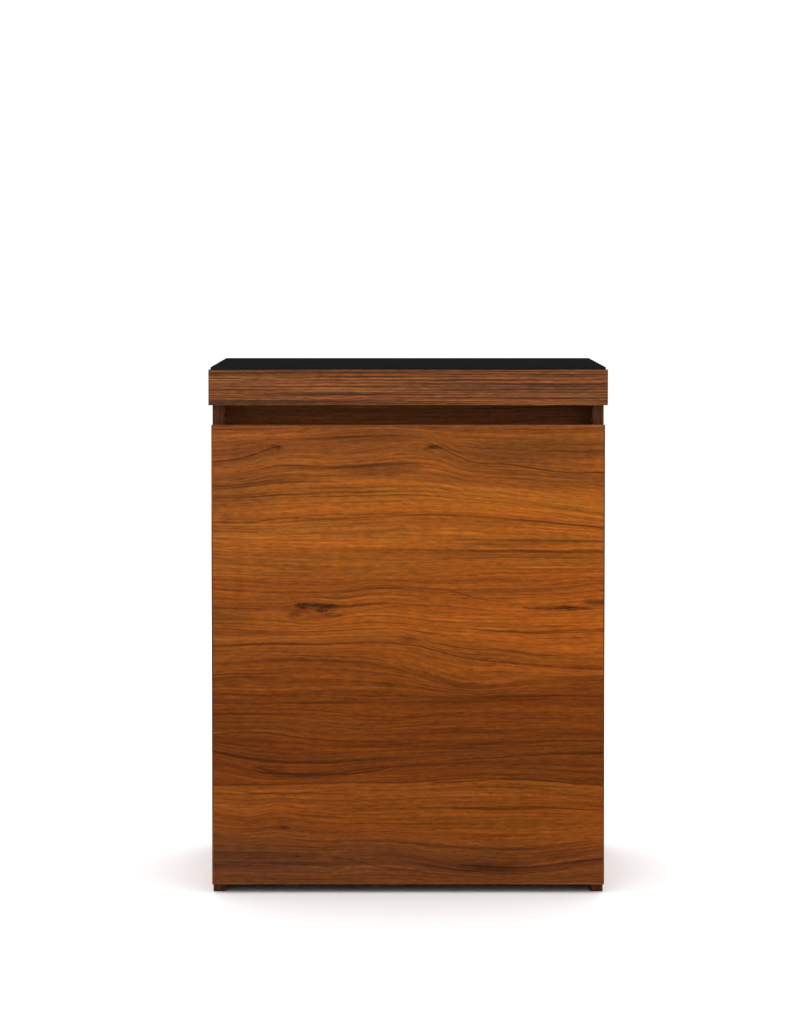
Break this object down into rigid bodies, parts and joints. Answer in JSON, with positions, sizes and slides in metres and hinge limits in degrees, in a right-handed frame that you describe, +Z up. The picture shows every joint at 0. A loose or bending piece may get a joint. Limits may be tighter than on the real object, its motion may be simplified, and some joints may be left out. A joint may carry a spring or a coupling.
{
  "type": "aquarium stand cabinet",
  "caption": "Wood-decor board cabinet with a thick overhanging top that carries an aquarium, and one full-width door on concealed hinges.",
  "frame": {"origin": "on the floor under the middle of the stand", "axes": "+X to the right seen from the front, -Y towards the front (the door), +Z up"},
  "size_m": [0.606, 0.506, 0.804],
  "materials": {
    "board": "satin",
    "edging": "satin",
    "raw_board": "matte",
    "hinge_steel": "satin",
    "fastener_steel": "satin",
    "dowel": "matte",
    "foam_mat": "matte",
    "cover_caps": "matte",
    "grommet": "satin",
    "bumpers": "satin"
  },
  "bodies": {
    "cabinet": {"back_panel": "board", "bottom_panel": "board", "bottom_panel_edging": "edging", "cable_grommet": "grommet", "cam_bolts": "fastener_steel", "cam_cover_caps": "cover_caps", "cam_locks": "fastener_steel", "dowels": "dowel", "front_rail": "board", "front_rail_edging": "edging", "hinge_adjusting_screws": "hinge_steel", "hinge_arm_lower": "hinge_steel", "hinge_arm_pins": "hinge_steel", "hinge_arm_upper": "hinge_steel", "hinge_plate_lower": "hinge_steel", "hinge_plate_screws": "hinge_steel", "hinge_plate_upper": "hinge_steel", "left_side_edging": "edging", "left_side_panel": "board", "levelling_mat": "foam_mat", "right_side_edging": "edging", "right_side_panel": "board", "shelf": "board", "shelf_edging": "edging", "shelf_pins": "fastener_steel", "top_board": "board", "top_build_up_back": "raw_board", "top_build_up_front": "raw_board", "top_build_up_left": "raw_board", "top_build_up_middle": "raw_board", "top_build_up_right": "raw_board", "top_edging_back": "edging", "top_edging_front": "edging", "top_edging_left": "edging", "top_edging_right": "edging"},
    "door": {"door_bumpers": "bumpers", "door_edging_bottom": "edging", "door_edging_left": "edging", "door_edging_right": "edging", "door_edging_top": "edging", "door_panel": "board", "hinge_cup_lower": "hinge_steel", "hinge_cup_pins": "hinge_steel", "hinge_cup_screws": "hinge_steel", "hinge_cup_upper": "hinge_steel"},
    "hinge_outer_links": {"hinge_outer_link_lower": "hinge_steel", "hinge_outer_link_upper": "hinge_steel"},
    "hinge_inner_links": {"hinge_inner_link_lower": "hinge_steel", "hinge_inner_link_upper": "hinge_steel"}
  },
  "joints": [
    {"name": "hinge_outer_link_turn", "type": "hinge", "parent": "cabinet", "child": "hinge_outer_links", "pos_m": [-0.256, -0.2126, 0.365], "axis": [0, 0, 1], "range_deg": [0, 26.1]},
    {"name": "door_swing", "type": "hinge", "parent": "hinge_outer_links", "child": "door", "pos_m": [-0.2884, -0.2335, 0.365], "axis": [0, 0, -1], "range_deg": [0, 126]},
    {"name": "hinge_inner_link_turn", "type": "hinge", "parent": "cabinet", "child": "hinge_inner_links", "pos_m": [-0.2641, -0.2317, 0.365], "axis": [0, 0, 1], "range_deg": [0, 36.1]}
  ],
  "couplings": [
    {"joint": "hinge_outer_link_turn", "follows": "door_swing", "ratio": 0.20635},
    {"joint": "hinge_inner_link_turn", "follows": "door_swing", "ratio": 0.28571}
  ]
}
